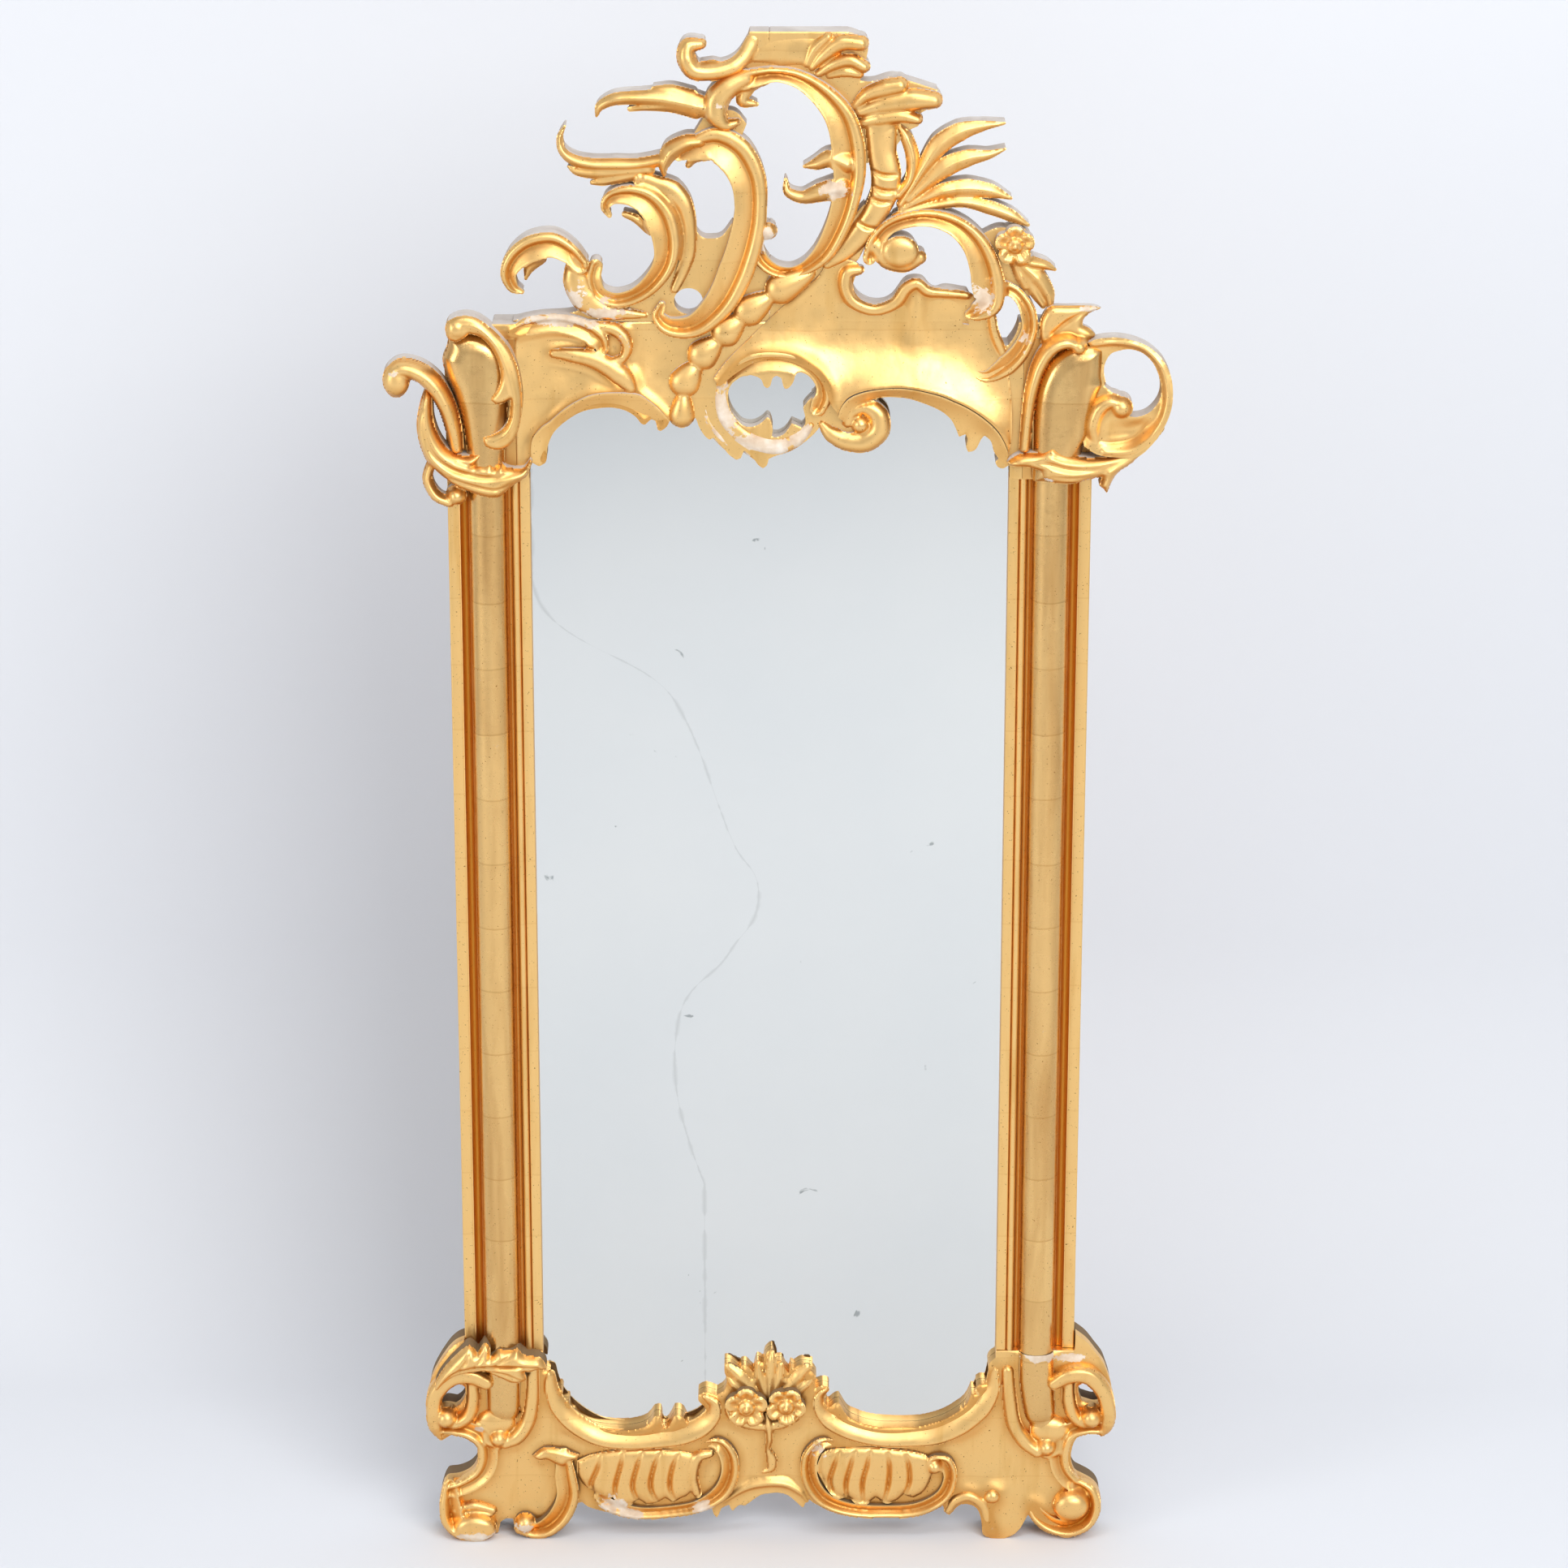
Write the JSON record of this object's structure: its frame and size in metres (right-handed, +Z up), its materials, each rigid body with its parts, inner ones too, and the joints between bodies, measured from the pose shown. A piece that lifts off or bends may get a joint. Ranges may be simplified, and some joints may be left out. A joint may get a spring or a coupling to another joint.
{
  "type": "pier mirror",
  "caption": "Tall giltwood pier mirror with half columns, a pierced and carved crest, corner scrolls and a carved base on scroll feet.",
  "frame": {"origin": "bottom centre of the bounding box, on the floor under the middle of the feet", "axes": "+Z up, the mirror looks along -Y, the back towards the wall is at +Y, +X is to the viewer's right"},
  "size_m": [0.9872, 0.08, 2.046],
  "materials": {
    "matte_gilding": "matte water gilding over carved wood",
    "burnished_gilding": "burnished gilding over turned and carved wood",
    "silvered_glass": "old silvered glass",
    "bare_wood": "bare softwood, darkened with age",
    "screw_steel": "dull iron screw"
  },
  "bodies": {
    "root": {"stile_left": "matte_gilding", "sight_slip_left": "matte_gilding", "column_left": "burnished_gilding", "stile_right": "matte_gilding", "sight_slip_right": "matte_gilding", "column_right": "burnished_gilding", "mirror_glass": "silvered_glass", "glass_block_left": "bare_wood", "glass_block_right": "bare_wood", "backboard_lower": "bare_wood", "backboard_middle": "bare_wood", "backboard_upper": "bare_wood", "crest_batten_left": "bare_wood", "crest_batten_right": "bare_wood", "batten_screw_left": "screw_steel", "batten_screw_right": "screw_steel", "rail_head": "matte_gilding", "crest_joint_block": "bare_wood", "crest_board_left": "matte_gilding", "crest_board_right": "matte_gilding", "bead_string": "matte_gilding", "crest_scroll_big": "matte_gilding", "crest_scroll_tall": "matte_gilding", "crest_leaves_left": "matte_gilding", "crest_scroll_hooked": "matte_gilding", "crest_top_shell": "matte_gilding", "crest_flower": "matte_gilding", "crest_trunk_shell": "matte_gilding", "crest_leaf_spray": "matte_gilding", "crest_scroll_right": "matte_gilding", "crest_scroll_low": "matte_gilding", "shoulder_left": "matte_gilding", "opening_ring": "matte_gilding", "arch_border_left": "matte_gilding", "arch_border_right": "matte_gilding", "corner_handle_left": "matte_gilding", "corner_wrap_left": "matte_gilding", "corner_scroll_left": "matte_gilding", "corner_vase_left": "burnished_gilding", "corner_wrap_right": "matte_gilding", "corner_ring_right": "matte_gilding", "corner_bar_right": "matte_gilding", "corner_vase_right": "burnished_gilding", "cartouche_shell": "matte_gilding", "base_board": "matte_gilding", "base_scroll_left": "matte_gilding", "base_wrap_left": "matte_gilding", "base_foot_scroll_left": "matte_gilding", "base_column_foot_left": "burnished_gilding", "base_scroll_right": "matte_gilding", "base_foot_scroll_right": "matte_gilding", "base_column_foot_right": "burnished_gilding", "bouquet_stem": "matte_gilding", "bouquet_flower_left": "matte_gilding", "bouquet_flower_right": "matte_gilding", "bouquet_leaves": "matte_gilding", "arch_moulding_left": "matte_gilding", "arch_moulding_right": "matte_gilding", "base_shell_left": "matte_gilding", "base_shell_right": "matte_gilding"}
  },
  "joints": []
}
